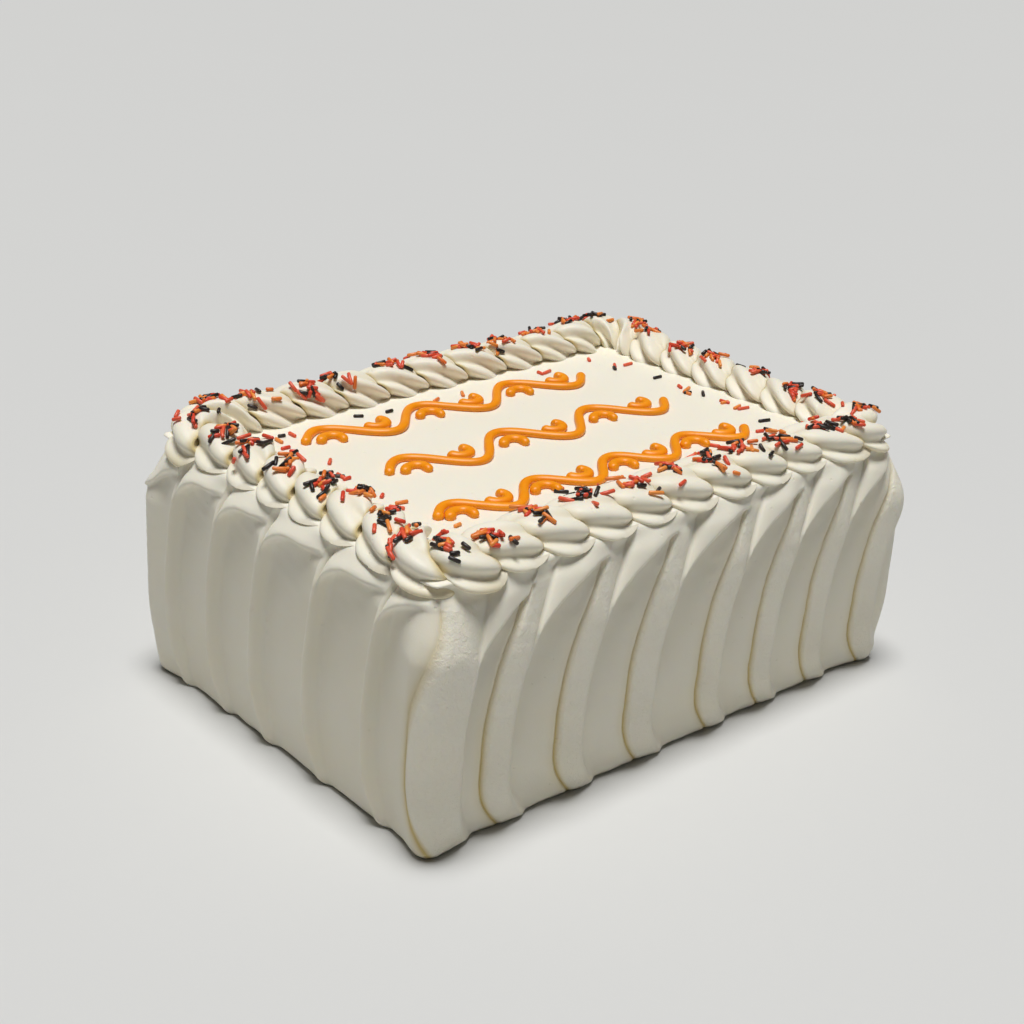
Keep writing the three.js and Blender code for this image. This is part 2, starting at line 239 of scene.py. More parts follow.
def whippedButtercream(name, dragDepth):
    # butter and sugar whipped full of air: satin, a little translucent, with tiny bubbles and, where
    # the spatula dragged it, short ripples; ridges get a painted highlight in a whiter ivory, and creases
    # are deeper and get painted shade in yellow
    material, shader = newMaterial(name)
    crease = addNode(material, "ShaderNodeAttribute", {"attribute_name": "crease"})
    drag = addNode(material, "ShaderNodeAttribute", {"attribute_name": "drag"})
    paintedHighlight = addNode(material, "ShaderNodeAttribute", {"attribute_name": "paintedHighlight"})
    cloudy = addNoise(material, buttercream["cloudSize"], {"Detail": 3})
    tint = mixColours(material, cloudy.outputs["Fac"],
                      linearColour(buttercream["ivory"]), linearColour(buttercream["warmIvory"]))
    # painted highlight on the ridges, the ledges and the panel
    highlighted = mixColours(material, paintedHighlight.outputs["Fac"], tint, linearColour(buttercream["highlightIvory"]))
    # painted shade: creases and crevices turn yellow
    creaseShaded = mixColours(material, crease.outputs["Fac"], highlighted, linearColour(buttercream["creaseShadeYellow"]))
    linkInput(material, creaseShaded, shader.inputs["Base Color"])

    bubbles = addNoise(material, buttercream["bubbleSize"], {"Detail": 2})
    ripples = addNoise(material, buttercream["dragSize"], {
        "Detail": 4, "Roughness": 0.65, "Distortion": 0.6})
    place = addNode(material, "ShaderNodeTexCoord")
    pits = addNode(material, "ShaderNodeTexVoronoi", inputs={
        "Vector": place.outputs["Object"], "Scale": 1 / (buttercream["pitSpacing"] * mm)})
    pitEdge = addNode(material, "ShaderNodeMapRange", {"interpolation_type": "SMOOTHSTEP"}, {
        "Value": pits.outputs["Distance"], "From Min": 0.03, "From Max": 0.1})
    dragged = addNode(material, "ShaderNodeMath", {"operation": "MULTIPLY"}, {
        0: ripples.outputs["Fac"], 1: drag.outputs["Fac"]})
    fine = addNode(material, "ShaderNodeBump", inputs={
        "Strength": 0.25, "Distance": buttercream["bubbleDepth"] * mm, "Height": bubbles.outputs["Fac"]})
    pitted = addNode(material, "ShaderNodeBump", inputs={
        "Strength": 0.5, "Distance": buttercream["pitDepth"] * mm, "Height": pitEdge.outputs["Result"],
        "Normal": fine.outputs["Normal"]})
    rough = addNode(material, "ShaderNodeBump", inputs={
        "Strength": 0.8, "Distance": dragDepth * mm, "Height": dragged.outputs["Value"],
        "Normal": pitted.outputs["Normal"]})
    linkInput(material, rough.outputs["Normal"], shader.inputs["Normal"])
    shader.inputs["Roughness"].default_value = buttercream["roughness"]
    shader.inputs["IOR"].default_value = 1.45
    letLightIn(shader, buttercream["glow"], buttercream["glowDepth"], (1.0, 0.75, 0.4))
    return material


orangeIcing = {
    "orange": "#ff9200",
    "paleOrange": "#ffa30c",
    "streakSize": 7,
    "grainSize": 1.2,
    "grainDepth": 0.2,
    "roughness": 0.42,
    "glow": 0.2,
    "glowDepth": 2,
}


def orangeButtercream():
    # the same icing with gel colour: glossier, because it is piped through a fine round tip
    material, shader = newMaterial("orangePipedIcing")
    streaks = addNoise(material, orangeIcing["streakSize"], {"Detail": 3})
    tint = mixColours(material, streaks.outputs["Fac"],
                      linearColour(orangeIcing["orange"]), linearColour(orangeIcing["paleOrange"]))
    linkInput(material, tint, shader.inputs["Base Color"])
    fine = addNoise(material, orangeIcing["grainSize"], {"Detail": 2})
    bump = addNode(material, "ShaderNodeBump", inputs={
        "Strength": 0.3, "Distance": orangeIcing["grainDepth"] * mm, "Height": fine.outputs["Fac"]})
    linkInput(material, bump.outputs["Normal"], shader.inputs["Normal"])
    shader.inputs["Roughness"].default_value = orangeIcing["roughness"]
    letLightIn(shader, orangeIcing["glow"], orangeIcing["glowDepth"], (1.0, 0.5, 0.15))
    return material


sugarRods = {
    "grainSize": 0.9,
    "grainDepth": 0.12,
    "roughness": 0.38,
}


def sugarStrand(name, dark, light):
    # extruded sugar rod with a waxy glaze: smooth, with a small change of shade from rod to rod
    material, shader = newMaterial(name)
    shade = addNode(material, "ShaderNodeAttribute", {"attribute_name": "shade"})
    grain = addNoise(material, sugarRods["grainSize"], {"Detail": 2})
    tint = mixColours(material, shade.outputs["Fac"], linearColour(dark), linearColour(light))
    linkInput(material, tint, shader.inputs["Base Color"])
    bump = addNode(material, "ShaderNodeBump", inputs={
        "Strength": 0.35, "Distance": sugarRods["grainDepth"] * mm, "Height": grain.outputs["Fac"]})
    linkInput(material, bump.outputs["Normal"], shader.inputs["Normal"])
    shader.inputs["Roughness"].default_value = sugarRods["roughness"]
    return material


# Iced block

sides = {
    "frontCreases": [-170, -137, -90, -43, 10, 52, 94, 137],  # x along the front
    "leftCreases": [98, 60, 22, -24, -71],  # y along the left side, from the back
    "farStrokes": 13,
    "creaseWidth": 1.5,
    "troughDepth": 4,
    "hollowRise": 3.2,
    "archHeight": 128,
    "hookHeight": 38,
    "sweepStart": 45,
    "dropWidth": 6,  # from a band's crest down into the trough
    "ledgeEase": 4,
    "ledgeFade": 9,
    "footHeight": 25,
    "footRelief": 0.45,  # the share of the relief that is left at the base
    "baseTuck": 2.5,
    "baseTuckHeight": 5,
    "waves": [[34, 0.45, 3], [9, 0.2, 4]],  # size, height and seed of the hand's unevenness
    "footWave": [16, 0.8, 5],
    "cornerCalm": 0.6,  # strokes are shallower at the corners and lean in under the shells
    "calmReach": 13,
    "rounding": 0.75,
    "roundingStart": 102,
    "roundingEnd": 134,
    "swellEnd": 100,
    # painted highlight: how strongly the ridges and ledges are painted whiter
    "highlightStrength": 0.8,
    "troughColumns": 25,
    # the first stroke of the front starts round the corner: a wider ridge that leans less
    "corner": {"ridgePart": 0.5, "hook": 8, "sweep": 10},
    # a wide rough band beside a crease, and on the left side a narrow rim without one
    "band": {"ridgePart": 0.3, "foot": -0.6, "creaseDepth": 2.6, "hook": 18, "sweep": 25,
             "archRadius": 34, "ledge": 0.25},
    "rim": {"ridgePart": 0.09, "foot": -0.8, "creaseDepth": 0, "hook": 6, "sweep": 13,
            "archRadius": 20, "ledge": 0.45},
}

rim = roundedPath(block["length"] / 2 - block["ridgeHeight"], block["width"] / 2 - block["ridgeHeight"],
                  block["cornerRadius"])


def strokeTable():
    # for each spatula stroke: where it starts along the rim, its pitch and the values of its kind
    front = np.array(sides["frontCreases"]) + rim["halfLength"] - rim["radius"] + rim["arc"] / 2
    left = rim["length"] - (np.array(sides["leftCreases"]) + rim["halfWidth"] - rim["radius"]
                            + rim["arc"] / 2)
    far = np.linspace(front[-1], left[0], sides["farStrokes"] + 1)[1:-1]
    creases = np.concatenate([front, far, left])
    kinds = ["band"] * (len(creases) - len(left)) + ["rim"] * len(left)
    table = {key: np.array([sides[kind][key] for kind in kinds])[:, None] for key in sides["band"]}
    for name, value in sides["corner"].items():
        table[name][0] = value
    table["crease"] = creases[:, None]
    table["pitch"] = np.diff(np.append(creases, creases[0] + rim["length"]))[:, None]
    return table


shoulderFoot = block["panelHeight"] - block["shoulderDrop"]


def strokeLean(table, z):
    # a hook to the right at the foot and a sweep to the right at the top, both growing as a square
    hook = table["hook"] * np.clip(1 - z / sides["hookHeight"], 0, None) ** 2
    sweep = np.clip(z - sides["sweepStart"], 0, None) / (shoulderFoot - sides["sweepStart"])
    return hook + table["sweep"] * sweep ** 2


def strokeRelief(table, part, z):
    # across one stroke: a convex band from the crease to the crest, a short drop, and a long hollow
    # that comes out again towards the next crease; creases are narrow bell-shaped cuts. A quarter
    # circle ends each hollow, and above it a ledge leans in, by a fixed slope, to the shoulder
    ridge, trough = block["ridgeHeight"], sides["troughDepth"]
    crest, foot, pitch = table["ridgePart"], table["foot"], table["pitch"]
    band = foot + (ridge - foot) * np.sin(np.clip(part / crest, 0, 1) * math.pi / 2)
    drop = smoothStep((part - crest) * pitch / sides["dropWidth"])
    hollow = -trough + sides["hollowRise"] * np.clip((part - crest - 0.1) / (0.9 - crest), 0, 1) ** 1.5
    stroke = np.where(part < crest, band, ridge + (hollow - ridge) * drop)
    fromCrease = np.minimum(part, 1 - part) * pitch
    nextDepth = np.roll(table["creaseDepth"], -1, axis=0)
    deep = table["creaseDepth"] + (nextDepth - table["creaseDepth"]) * (part > 0.5)
    cut = np.exp(-(fromCrease / sides["creaseWidth"]) ** 2) * (deep > 0)
    stroke = stroke * (1 - cut) - deep * cut
    top = sides["archHeight"]
    reach = np.clip((part - crest) * pitch / table["archRadius"], 0, 1)
    arch = top - table["archRadius"] * (1 - np.sqrt(1 - (1 - reach) ** 2))
    share = np.clip(part / crest, 0, 1)
    onBand = top - table["archRadius"] * (0.5 + 0.5 * share)
    nextRadius = np.roll(table["archRadius"], -1, axis=0)
    start = np.where(part < crest, onBand, arch - 0.5 * nextRadius * smoothStep((part - 0.6) / 0.4))
    over = np.clip(z - start, 0, None)
    ledge = (table["ledge"] * over * over / (over + sides["ledgeEase"])
             * (1 - smoothStep((z - top) / sides["ledgeFade"])))
    crisp, soft = smoothStep((top - z) / 3), smoothStep((top - z) / 14)
    below = np.where(part < crest, crisp + (soft - crisp) * share, smoothStep((arch - z) / 3))
    above = ridge - 0.8 * np.clip((part - crest) / (1 - crest), 0, 1) - 0.8 * np.clip(1 - share, 0, 1)
    fade = 1 - smoothStep((z - top + 1) / 8)
    low = sides["footRelief"] + (1 - sides["footRelief"]) * smoothStep(z / sides["footHeight"])
    return fade * low * (above + (stroke - above) * below) - ledge, below * fade


def wallInset(z):
    # the base tucks in as a square, the wall leans out, and the shoulder is a quarter ellipse
    base = sides["baseTuck"] * np.clip(1 - z / sides["baseTuckHeight"], 0, None) ** 2
    up = np.clip((z - shoulderFoot) / block["shoulderDrop"], 0, 1)
    lean = block["flare"] * (2 * smoothStep(0.5 + z / block["flareHeight"] / 2) - 1)
    return base + block["shoulderInset"] * (1 - np.sqrt(1 - up * up)) - lean


def blockGrid(table):
    # columns lie close together on the bands and beside the creases, rows at the foot and the shoulder
    crest = table["ridgePart"]
    onBand = [crest * np.linspace(0, 0.2, 5)[:-1], crest * np.linspace(0.2, 1, 10)[:-1]]
    byCrease = 0.94 + 0.06 * np.linspace(0, 1, 8)[1:-1] + 0 * crest
    inTrough = crest + (0.94 - crest) * np.linspace(0, 1, sides["troughColumns"]) ** 1.15
    part = np.concatenate([*onBand, inTrough, byCrease], axis=1)
    shoulder = np.sin(np.linspace(0, 1, 14) * math.pi / 2)
    z = np.concatenate([np.linspace(0, 12, 9)[:-1], np.linspace(12, 92, 30)[:-1],
                        np.linspace(92, shoulderFoot, 25)[:-1],
                        shoulderFoot + block["shoulderDrop"] * shoulder])
    return part, z[:, None, None]


def cornerRounding(calm, rows):
    # leans the calm corners in: as a square at first, then evenly, and back out at the panel
    over = np.clip(rows - sides["roundingStart"], 0, None)
    back = smoothStep((rows - sides["roundingEnd"]) / 4)
    return sides["rounding"] * calm * over * over / (over + 10) * (1 - back)


def blockShades(table, part, rows, cut):
    # how much painted shade, in yellow, each crease gets, how rough each band is, and how much painted
    # highlight the ridges and the ledges get;
    # bell curves of the way from a crease: narrow on its band, narrow and wide together before it
    crest = table["ridgePart"]
    creased = (table["creaseDepth"] > 0) * 1.0
    before, after = part * table["pitch"], (1 - part) * table["pitch"]
    nextCrease = 0.35 * np.exp(-(after / 4) ** 2) + 0.65 * np.exp(-after ** 2)
    # painted shade: yellow in the creases, stronger towards the base
    crease = creased * np.exp(-(before / 1.0) ** 2) + np.roll(creased, -1, axis=0) * nextCrease
    crease = np.clip(crease * cut * (0.35 + 0.65 * smoothStep(1.25 - rows / 100)), 0, 1)
    drag = creased * smoothStep((crest * 1.1 - part) / 0.06) * cut + 0.08
    onRidge = smoothStep((crest * 1.1 - part) / 0.06) + smoothStep((part - 0.985) / 0.015)
    # painted highlight on the ridges and on the ledges above the arches
    paintedHighlight = np.maximum(onRidge * smoothStep(rows / 90), (1 - cut) * smoothStep((rows - 84) / 12))
    return crease, drag, sides["highlightStrength"] * paintedHighlight


def icedBlock():
    # a wall of strokes with its shoulder, and rings that go in over the panel to the middle
    table = strokeTable()
    part, rows = blockGrid(table)
    lean = strokeLean(table, rows)
    run = table["pitch"] + np.roll(lean, -1, axis=1) - lean
    along = table["crease"] + lean + part * run
    relief, cut = strokeRelief(table, part + 0 * along, rows)
    x, y, outX, outY = walkPath(rim, along)
    flat = np.stack([x, y, rows + 0 * x], -1)
    for size, height, seed in sides["waves"]:
        relief = relief + height * wobble(flat, size, seed) * cut
    size, height, seed = sides["footWave"]
    relief = relief + height * wobble(flat, size, seed) * np.clip(1 - rows / 6, 0, 1)
    calm = sides["cornerCalm"] * cornerBell(rim, along, sides["calmReach"])
    relief = relief * (1 - calm) + calm - cornerRounding(calm, rows)
    swell = block["cornerSwell"] * cornerBell(rim, along, block["swellReach"])
    swell = swell * (1 - smoothStep((rows - sides["swellEnd"]) / 38))
    offset = relief + swell - wallInset(rows)
    wall = np.stack([x + offset * outX, y + offset * outY, rows + 0 * x], -1)
    wall = wall.reshape(len(rows), -1, 3)

    share = np.linspace(1, 0, 10)[1:-1, None, None]
    panel = wall[-1] * share
    panel[..., 2] = block["panelHeight"] + 0.25 * wobble(panel, 60, 6) * (1 - share[..., 0] ** 8)
    rings = np.concatenate([wall, panel])
    surface = skin(rings, [0, 0, 0], [0, 0, panel[-1, :, 2].mean()])

    attributes = {}
    # the panel gets an even painted highlight
    onPanel = {"crease": 0, "drag": 0, "paintedHighlight": 0.5}
    for (name, plain), shade in zip(onPanel.items(), blockShades(table, part, rows, cut)):
        onWall = (shade + 0 * along).ravel()
        attributes[name] = np.concatenate([[0], onWall, np.full(panel[..., 2].size + 1, plain)])
    return surface, attributes


# Piped shell border

shells = {
    "longSide": 9,  # between the two shells that share each corner
    "shortSide": 6,
    "cornerCuts": [-20, -4, 12],  # from a corner's middle, along the border
    "halfWidth": 17.5,
    "halfHeight": [10.8, 13.6],  # at the front edge and at the back edge
    "axisHeight": 2,
    "axisInset": 17,
    "droop": 4,
    "pathRadius": 24,
    "halfLength": 0.61,  # of the span, so that each shell tucks under the next
    "blunt": 2.6,
    "cornerScale": 1.06,
    "cornerPush": 7.5,
    "cornerReach": 18,
    "scaleSpread": 0.05,
    "cutDrift": 1.2,
    "gap": 0.15,
    "ribCount": 6,
    "ribTurn": -4,
    "twist": [0.55, 1.3],  # ribs that each shell turns by, outside and inside
    "shear": 0.08,  # millimetres along the path for each degree down the outside
    "ribValley": 0.74,
    "ribRise": 0.3,
    "ribSharpness": 1.3,
    "crownCalm": 0.55,  # ribs are this much shallower on the crown, over crownSpread degrees
    "crownSpread": 30,
    "angles": [212, -62],  # degrees, from the inner foot over the crown to the outer foot
    "sunk": 0.8,
    "unevenness": 0.5,
    # painted shade, in yellow, in the rib grooves, at each shell's ends and low down by the panel
    "grooveShade": 0.15,
    "endShade": 1.2,
    "footShade": 0.45,
    "drag": 0.25,
    # painted highlight over the whole shell border
    "paintedHighlight": 0.4,
    "seed": 20,
    "around": 72,
    "rows": 34,
}

shellPath = roundedPath(block["length"] / 2 - shells["axisInset"],
                        block["width"] / 2 - shells["axisInset"], shells["pathRadius"])


def randomSource(start):
    # the plain congruential draw that also sets the solids' shells
    state = start
    while True:
        state = (state * 1664525 + 1013904223) % 4294967296
        yield state / 4294967296


def shellUnits():
    # middle, span and scale of each shell: two short ones share each corner, the others the sides
    draw = randomSource(shells["seed"])
    arc, radius = shellPath["arc"], shellPath["radius"]
    runs = [2 * (shellPath["halfLength"] - radius) + arc, 2 * (shellPath["halfWidth"] - radius) + arc]
    cuts, scales, start = [], [], 0
    for side in range(4):
        count = shells["shortSide"] if side % 2 else shells["longSide"]
        first, last = shells["cornerCuts"][-1], runs[side % 2] + shells["cornerCuts"][0]
        even = [first + i * (last - first) / count for i in range(count)]
        for place in shells["cornerCuts"][:-1] + even:
            drift, spread = next(draw) - 0.5, 2 * next(draw) - 1
            corner = place < first
            cuts.append(start + place + (0 if corner else shells["cutDrift"] * drift))
            scales.append(shells["cornerScale"] if corner else 1 + shells["scaleSpread"] * spread)
        start += runs[side % 2]
    cuts = np.array(cuts)
    spans = np.diff(np.append(cuts, cuts[0] + shellPath["length"]))
    return np.stack([cuts + spans / 2, spans, scales], -1)


def moundShare(along, span):
    # a superellipse from nose to tail, 1 at the middle
    part = np.abs(along / (span * shells["halfLength"]))
    return np.clip(1 - part ** shells["blunt"], 0, None) ** (1 / shells["blunt"])


def ribWave(angle, along, span):
    # 1 on a rib and 0 in a groove; along a shell the ribs turn outwards, more on its inner side
    outer, inner = shells["twist"]
    twist = outer + (inner - outer) * smoothStep((angle - 60) / 70)
    phase = np.radians(shells["ribCount"] * (angle - shells["ribTurn"]))
    phase = phase + 2 * math.pi * twist * along / span
    return (0.5 + 0.5 * np.cos(phase - 0.3 * np.sin(phase))) ** shells["ribSharpness"]


def shoulderFloor(inset):
    # height of the block under a point that lies this far in from the foot of its wall
    out = np.clip((block["shoulderInset"] - inset - block["flare"]) / block["shoulderInset"], 0, 1)
    return block["panelHeight"] - block["shoulderDrop"] * (1 - np.sqrt(1 - out * out))


def shellPoints(at, along, span, share, angle):
    # a lobed ellipse round the border's path: share is its size, angle runs from outwards to inwards;
    # it leans along the path as it comes down the outside, as the strands of a rope do
    along = along + shells["shear"] * (90 - angle)
    x, y, outX, outY = walkPath(shellPath, at + along)
    upper = 1 - shells["crownCalm"] * np.exp(-((angle - 90) / shells["crownSpread"]) ** 2)
    lobes = shells["ribValley"] + shells["ribRise"] * (1 - (1 - ribWave(angle, along, span)) * upper)
    outward = shells["halfWidth"] * share * lobes * np.cos(np.radians(angle))
    front, back = shells["halfHeight"]
    tall = front + (back - front) * smoothStep(0.5 + y / block["width"])
    z = (block["panelHeight"] + shells["axisHeight"]
         + tall * share * lobes * np.sin(np.radians(angle))
         - shells["droop"] * share * np.clip(np.cos(np.radians(angle)), 0, None) ** 1.5)
    outward = outward + shells["cornerPush"] * cornerBell(shellPath, at + along, shells["cornerReach"])
    z = np.maximum(z, shoulderFloor(shells["axisInset"] - outward) - shells["sunk"])
    return np.stack([x + outward * outX, y + outward * outY, z + 0 * x], -1)


def shellSurface(unit, following):
    # rings from the nose to the tail, which ends on the next shell's head, then back inside that head
    (at, span, scale), (nextAt, nextSpan, nextScale) = unit, following
    reach = (nextAt - at) % shellPath["length"] - shells["gap"]
    half, nextHalf = span * shells["halfLength"], nextSpan * shells["halfLength"]
    angle = np.linspace(*shells["angles"], shells["around"])[None, :]
    tries = np.linspace(0, half, 500)
    meets = nextScale * moundShare(tries - reach, nextSpan) >= scale * moundShare(tries, span)
    tail = tries[np.argmax(meets)]
    head = -half * np.cos(np.linspace(0, math.pi / 2, shells["rows"] // 2)[1:]) ** 1.25
    body = np.linspace(0, tail, shells["rows"] // 2)[1:]
    cupShare = np.linspace(moundShare(tail, span) * scale / nextScale, 0, 6)[1:-1]
    cup = reach - nextHalf * (1 - cupShare ** shells["blunt"]) ** (1 / shells["blunt"])
    along = np.concatenate([head, body, cup])[:, None]
    share = np.concatenate([scale * moundShare(head, span), scale * moundShare(body, span),
                            nextScale * cupShare])
    rings = shellPoints(at, along, span, share[:, None], angle)
    nose = shellPoints(at, np.array(-half), span, 0, np.array(90.0))
    cupMiddle = shellPoints(at, np.array(reach - nextHalf), span, 0, np.array(90.0))
    surface = skin(rings, nose, cupMiddle)
    leant = along + shells["shear"] * (90 - angle)
    # painted shade in yellow: the rib grooves, each shell's ends and its foot by the panel
    valley = np.clip(1 - ribWave(angle, leant, span) * 1.8, 0, 1) ** 1.5
    ends = np.clip(1 - share / scale, 0, 1) ** 1.5 + smoothStep((along[:, 0] - tail + 2) / 2) * 0.5
    low = smoothStep((block["panelHeight"] - rings[..., 2]) / 7) * shells["footShade"]
    crease = np.clip(shells["grooveShade"] * valley + ends[:, None] * shells["endShade"] + low, 0, 1)
    return surface, np.concatenate([[1], crease.ravel(), [1]])


def shellBorder():
    # all the shells as one surface, their upper parts made a little uneven
    units = shellUnits()
    made = [shellSurface(unit, following) for unit, following in zip(units, np.roll(units, -1, axis=0))]
    surface = joinSkins([part for part, crease in made])
    crease = np.concatenate([crease for part, crease in made])
    points = surface["points"]
    lift = smoothStep((points[:, 2] - block["panelHeight"]) / 6)[:, None]
    drift = np.stack([wobble(points, 26, 11), wobble(points, 26, 12), wobble(points, 22, 13)], -1)
    surface["points"] = points + shells["unevenness"] * drift * lift
    return surface, {"crease": crease, "drag": np.full(len(crease), shells["drag"]),
                     "paintedHighlight": np.full(len(crease), shells["paintedHighlight"])}


# Scrollwork

scrolls = {
    "rows": [
        {"from": -112, "to": 84, "y": 55, "waves": 3, "rise": 12},
        {"from": -102, "to": 94, "y": -2, "waves": 3, "rise": 13},
        {"from": -117, "to": 99, "y": -58, "waves": 4, "rise": 10},
    ],
    "width": 5.2,
    "height": block["strandHeight"],
    "sunk": 0.8,
    "curlRadius": 8,
    "curlEndRadius": 3,
    "curlTurn": 1.35 * math.pi,
    "curlOffset": 4,  # from the row's middle line, away from the wave's crest
    "unevenness": 0.07,
    "endSwell": 0.12,
    "around": 16,
}


def strandSurface(path, seed):
    # a domed section carried along a path, with rounded ends and a slightly uneven thickness
    step = np.gradient(path, axis=0)
    length = np.concatenate([[0], np.cumsum(np.linalg.norm(np.diff(path, axis=0), axis=1))])
    step /= np.linalg.norm(step, axis=1, keepdims=True)
    side = np.stack([step[:, 1], -step[:, 0]], -1)[:, None, :]
    fromEnd = np.minimum(length, length[-1] - length)
    half = scrolls["width"] / 2
    swell = (1 + scrolls["unevenness"] * wobble(np.c_[path, 0 * length], 14, seed)
             + scrolls["endSwell"] * np.exp(-(fromEnd / 5) ** 2))
    close = np.sqrt(np.clip(1 - (1 - np.clip(fromEnd / half, 0, 1)) ** 2, 0.02, 1))
    size = (swell * close)[:, None]
    turn = np.linspace(-0.28 * math.pi, 1.28 * math.pi, scrolls["around"])[None, :]
    across = half * size * np.cos(turn)
    height = scrolls["height"] * (0.36 + 0.6 * np.sin(turn)) * (0.3 + 0.7 * size)
    z = block["panelHeight"] + np.maximum(height, -scrolls["sunk"])
    rings = np.concatenate([path[:, None, :] + across[..., None] * side, z[..., None]], -1)
    return skin(rings, rings[0].mean(axis=0), rings[-1].mean(axis=0))


def curlPath(centreX, centreY, side):
    # a spiral whose radius shrinks evenly with its turn
    part = np.linspace(0, 1, 44)
    radius = scrolls["curlRadius"] + (scrolls["curlEndRadius"] - scrolls["curlRadius"]) * part
    angle = math.pi - scrolls["curlTurn"] * part
    return np.stack([centreX + radius * np.cos(angle), centreY + side * radius * np.sin(angle)], -1)


def scrollSurface():
    # each row is a sine wave with a curl at every crest and trough
    strands = []
    for row in scrolls["rows"]:
        wave = (row["to"] - row["from"]) / row["waves"]
        x = np.linspace(row["from"], row["to"], row["waves"] * 72)
        stem = np.stack([x, row["y"] + row["rise"] * np.sin(2 * math.pi * (x - row["from"]) / wave)], -1)
        signs = [(-1) ** i for i in range(2 * row["waves"])]
        curls = [curlPath(row["from"] + (i + 0.5) * wave / 2, row["y"] - sign * scrolls["curlOffset"], sign)
                 for i, sign in enumerate(signs)]
        strands += [stem] + curls
    return joinSkins([strandSurface(path, 40 + i) for i, path in enumerate(strands)])


# Sprinkles

sprinkles = {
    "perShell": 16,
    "onPanel": 46,
    "panelLine": 46,  # the loose ones lie about a line this far in from the walls
    "panelSpread": 5,
    "shellLength": 28,  # the next three are for a shell of this length
    "clumpAlong": 3.5,
    "strayAlong": 4,
    "alongLimit": 11,
    "crownAngle": 88,  # degrees round the shell from its outer side
    "clumpAngle": 10,
    "strayAngle": 17,
    "angleRange": [42, 140],
    "restingHeight": [0.5, 1.7],
    "tilt": 0.16,
    "radius": 1.0,
    "length": [4.5, 8.5],
    "colours": {  # share of the rods, then their darkest and lightest shade
        "blackSprinkles": [0.36, "#1b1513", "#3a302c"],
        "redSprinkles": [0.38, "#e0442a", "#f26a48"],
        "orangeSprinkles": [0.26, "#ee742c", "#fa9c48"],
    },
    "seed": 8,
}


def rodSurface(centres, axes, ups, lengths):
    # a round-ended rod, turned and moved to each place at once
    side = np.cross(axes, ups)
    side /= np.linalg.norm(side, axis=1, keepdims=True)
    rise = np.cross(side, axes)
    turn = np.linspace(0, 2 * math.pi, 8, endpoint=False)
    radius = sprinkles["radius"]
    ringSize = radius * np.array([0.62, 1, 1, 0.62])
    ends = np.array([-1, -1, 1, 1])
    trim = radius * np.array([0.22, 0.6, 0.6, 0.22])
    along = ends * (lengths[:, None] / 2 - trim)
    around = (np.cos(turn)[:, None] * rise[:, None, None, :]
              + np.sin(turn)[:, None] * side[:, None, None, :])
    rings = (centres[:, None, None, :] + along[:, :, None, None] * axes[:, None, None, :]
             + ringSize[:, None, None] * around)
    skins = [skin(ring, centre - axis * length / 2, centre + axis * length / 2)
             for ring, centre, axis, length in zip(rings, centres, axes, lengths)]
    return joinSkins(skins), len(skins[0]["points"])


def unitVectors(vectors):
    return vectors / np.linalg.norm(vectors, axis=1, keepdims=True)


def sprinklePlaces():
    # most lie on the shells' tops and inner sides in loose clumps, some rolled onto the panel
    chance = np.random.default_rng(sprinkles["seed"])
    each = sprinkles["perShell"]
    at, span, scale = np.repeat(shellUnits(), each, axis=0).T
    count = len(at)
    clump = np.repeat(chance.normal(0, 1, (count // each, 2)), each, axis=0)
    strayed = sprinkles["clumpAlong"] * clump[:, 0] + chance.normal(0, sprinkles["strayAlong"], count)
    along = (span / sprinkles["shellLength"]
             * np.clip(strayed, -sprinkles["alongLimit"], sprinkles["alongLimit"]))
    turned = sprinkles["clumpAngle"] * clump[:, 1]
    angle = np.clip(sprinkles["crownAngle"] + turned + chance.normal(0, sprinkles["strayAngle"], count),
                    *sprinkles["angleRange"])
    share = scale * moundShare(along, span)
    point = shellPoints(at, along, span, share, angle)
    first = unitVectors(shellPoints(at, along + 1, span, share, angle) - point)
    second = unitVectors(shellPoints(at, along, span, share, angle + 4) - point)
    up = unitVectors(np.cross(first, second))
    onShell = point + up * chance.uniform(*sprinkles["restingHeight"], (count, 1))

    line = roundedPath(block["length"] / 2 - sprinkles["panelLine"],
                       block["width"] / 2 - sprinkles["panelLine"], 10)
    loose = sprinkles["onPanel"]
    x, y, outX, outY = walkPath(line, chance.uniform(0, line["length"], loose))
    inward = np.abs(chance.normal(0, sprinkles["panelSpread"], loose)) - 3
    onPanel = np.stack([x - inward * outX, y - inward * outY,
                        np.full(loose, block["panelHeight"] + 0.8)], -1)
    centres = np.concatenate([onShell, onPanel])
    flatFirst = np.tile([1.0, 0, 0], (loose, 1))
    flatSecond = np.tile([0, 1.0, 0], (loose, 1))
    first, second = np.concatenate([first, flatFirst]), np.concatenate([second, flatSecond])
    up = np.concatenate([up, np.tile([0, 0, 1.0], (loose, 1))])
    turn = chance.uniform(0, math.pi, len(centres))[:, None]
    tilt = np.concatenate([chance.normal(0, sprinkles["tilt"], count), np.zeros(loose)])[:, None]
    axes = unitVectors(first * np.cos(turn) + second * np.sin(turn) + tilt * up)
    lengths = chance.uniform(*sprinkles["length"], len(centres))
    picks, shades = chance.uniform(0, 1, (2, len(centres)))
    return centres, axes, up, lengths, picks, shades


# Put the cake together

sideIcing = whippedButtercream("whippedButtercream", buttercream["sideDragDepth"])
pipedIcing = whippedButtercream("pipedButtercream", buttercream["pipedDragDepth"])

surface, attributes = icedBlock()
icedCake = makePiece("icedCake", surface, sideIcing, attributes)
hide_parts("cake_body")

surface, attributes = shellBorder()
pipedBorder = makePiece("pipedBorder", surface, pipedIcing, attributes)
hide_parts(*shellNodes)

scrollwork = makePiece("pipedScrollwork", scrollSurface(), orangeButtercream())

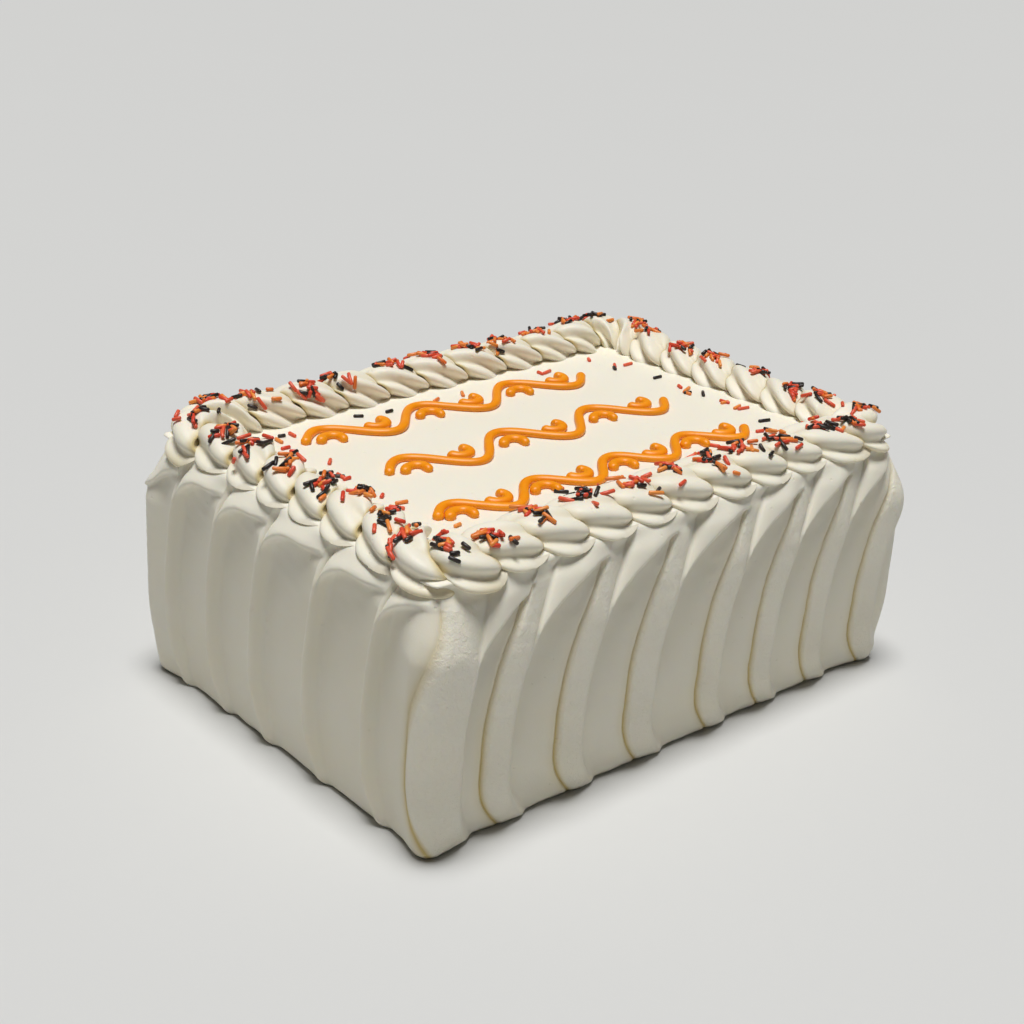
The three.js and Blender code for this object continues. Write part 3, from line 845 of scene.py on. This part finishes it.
centres, axes, ups, lengths, picks, shades = sprinklePlaces()
lowest = 0
for name, (share, dark, light) in sprinkles["colours"].items():
    chosen = (picks >= lowest) & (picks < lowest + share)
    lowest += share
    surface, size = rodSurface(centres[chosen], axes[chosen], ups[chosen], lengths[chosen])
    piece = makePiece(name, surface, sugarStrand(name, dark, light),
                      {"shade": np.repeat(shades[chosen], size)})


# Floor, light and camera

studio = {
    "floor": "#d6d6d4",
    "floorMottle": "#d5d5d3",
    "floorSize": 12,  # metres
    "floorRoughness": 0.8,
    "world": 0.04,
    "key": 3.02,
    "keySpread": 20,  # degrees across, as a soft box overhead looks from the cake
    "keyFrom": (-0.05, -0.03, 1.0),
}


def studioFloor():
    # a pale matt sheet, faintly mottled so that it isn't one flat colour
    bpy.ops.mesh.primitive_plane_add(size=studio["floorSize"], location=(0, 0, bodyLow[2]))
    floor = bpy.context.object
    floor.name = "studioFloor"
    material, shader = newMaterial("paleFloor")
    place = addNode(material, "ShaderNodeTexCoord")
    mottle = addNode(material, "ShaderNodeTexNoise", inputs={
        "Vector": place.outputs["Object"], "Scale": 3.0})
    tint = mixColours(material, mottle.outputs["Fac"],
                      linearColour(studio["floor"]), linearColour(studio["floorMottle"]))
    linkInput(material, tint, shader.inputs["Base Color"])
    shader.inputs["Roughness"].default_value = studio["floorRoughness"]
    floor.data.materials.append(material)


def overheadLight():
    # an even light from a wide angle, so that shadows are soft and the floor stays even
    lamp = bpy.data.lights.new("overheadLight", "SUN")
    lamp.angle = math.radians(studio["keySpread"])
    lamp.energy = studio["key"]
    light = bpy.data.objects.new("overheadLight", lamp)
    light.location = studio["keyFrom"]
    light.rotation_euler = Vector(studio["keyFrom"]).to_track_quat("Z", "Y").to_euler()
    bpy.context.scene.collection.objects.link(light)


def whiteWorld():
    # the faint light that a white room gives from everywhere
    world = bpy.data.worlds.new("studioWorld")
    world.use_nodes = True
    background = world.node_tree.nodes["Background"]
    background.inputs["Color"].default_value = (1, 1, 1, 1)
    background.inputs["Strength"].default_value = studio["world"]
    bpy.context.scene.world = world


studioFloor()
overheadLight()
whiteWorld()
bpy.context.scene.view_settings.view_transform = "Standard"
print("floor and lights set")

view = {
    "sensor": 36,
    "turn": -43.3,  # degrees, towards the left of the front
    "rise": 23.44,
    "roll": 3.29,
    "distance": 1.025,
    "aim": (0.0606, 0.0756, 0.05),
    "focalPixels": 1691.4,
    "imagePixels": 1024,
    "shiftPixels": 7.3,
}


def photographCamera():
    # the camera looks back along (sin turn cos rise, -cos turn cos rise, sin rise)
    turn, rise, roll = (math.radians(view[key]) for key in ("turn", "rise", "roll"))
    back = Vector((math.sin(turn) * math.cos(rise), -math.cos(turn) * math.cos(rise), math.sin(rise)))
    level = Vector((0, 0, 1)).cross(back).normalized()
    upright = back.cross(level)
    right = math.cos(roll) * level + math.sin(roll) * upright
    up = math.cos(roll) * upright - math.sin(roll) * level
    lens = bpy.data.cameras.new("photographCamera")
    lens.sensor_width = view["sensor"]
    lens.lens = view["sensor"] * view["focalPixels"] / view["imagePixels"]
    lens.shift_x = -view["shiftPixels"] / view["imagePixels"]
    camera = bpy.data.objects.new("photographCamera", lens)
    place = Vector(view["aim"]) + back * view["distance"]
    camera.matrix_world = Matrix.Translation(place) @ Matrix((right, up, back)).transposed().to_4x4()
    bpy.context.scene.collection.objects.link(camera)
    bpy.context.scene.camera = camera


photographCamera()
print("camera set")
